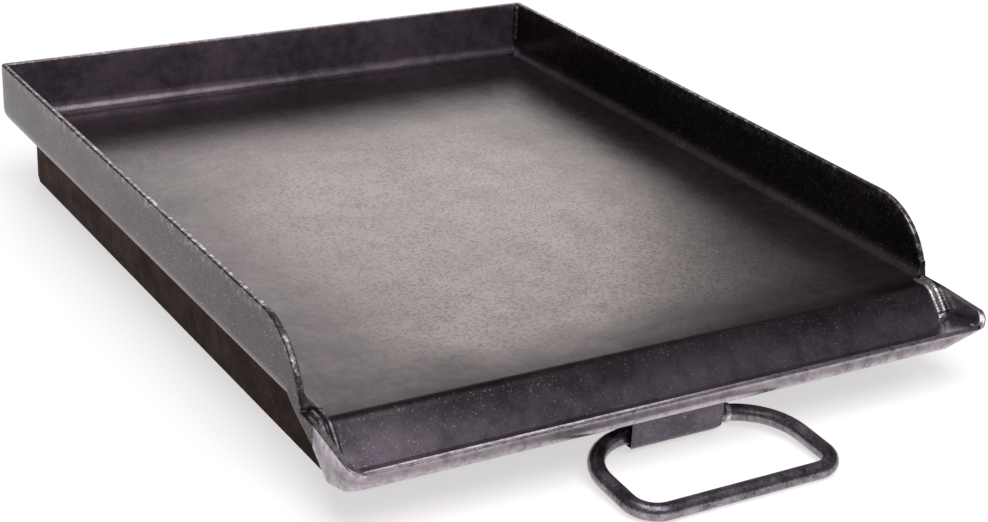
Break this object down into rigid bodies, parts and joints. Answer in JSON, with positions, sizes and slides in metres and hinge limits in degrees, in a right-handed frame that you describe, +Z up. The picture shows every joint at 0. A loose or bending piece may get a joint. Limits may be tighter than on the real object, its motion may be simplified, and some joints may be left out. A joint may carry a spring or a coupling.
{
  "type": "flat top griddle",
  "caption": "Folded steel griddle plate with raised back and sides, a front grease trough with a drain spout, underside rails and a hinged bail handle.",
  "frame": {"origin": "on the table, under the middle of the whole griddle with its handle at rest", "axes": "+X to the right, -Y to the front, towards the trough and handle, +Z up"},
  "size_m": [0.3626, 0.5188, 0.0762],
  "materials": {
    "plate_steel": "hot rolled, seasoned, satin",
    "trough_steel": "hot rolled, oiled, satin",
    "rail_steel": "hot rolled, matt",
    "bracket_steel": "hot rolled, satin",
    "rod_steel": "black oxide, mottled",
    "spout_steel": "satin",
    "weld_metal": "bare weld bead"
  },
  "bodies": {
    "griddle": {"cooking_plate": "plate_steel", "rear_corner_weld_left": "weld_metal", "rear_corner_weld_right": "weld_metal", "grease_trough": "trough_steel", "trough_end_left": "trough_steel", "trough_end_right": "trough_steel", "apron_edge_weld_left": "weld_metal", "apron_edge_weld_right": "weld_metal", "trough_seam_weld": "weld_metal", "drain_spout": "spout_steel", "drain_spout_weld": "weld_metal", "side_rail_left": "rail_steel", "side_rail_right": "rail_steel", "cross_bar_front": "rail_steel", "cross_bar_middle": "rail_steel", "cross_bar_rear": "rail_steel", "rail_welds_left": "weld_metal", "rail_welds_right": "weld_metal", "cross_bar_welds": "weld_metal", "handle_bracket": "bracket_steel", "bracket_weld": "weld_metal"},
    "handle": {"handle_rod": "rod_steel", "handle_butt_weld": "weld_metal"}
  },
  "joints": [
    {"name": "handle_pivot", "type": "hinge", "parent": "griddle", "child": "handle", "pos_m": [0, -0.19322, 0.008], "axis": [-1, 0, 0], "range_deg": [-176.5, 30]}
  ]
}
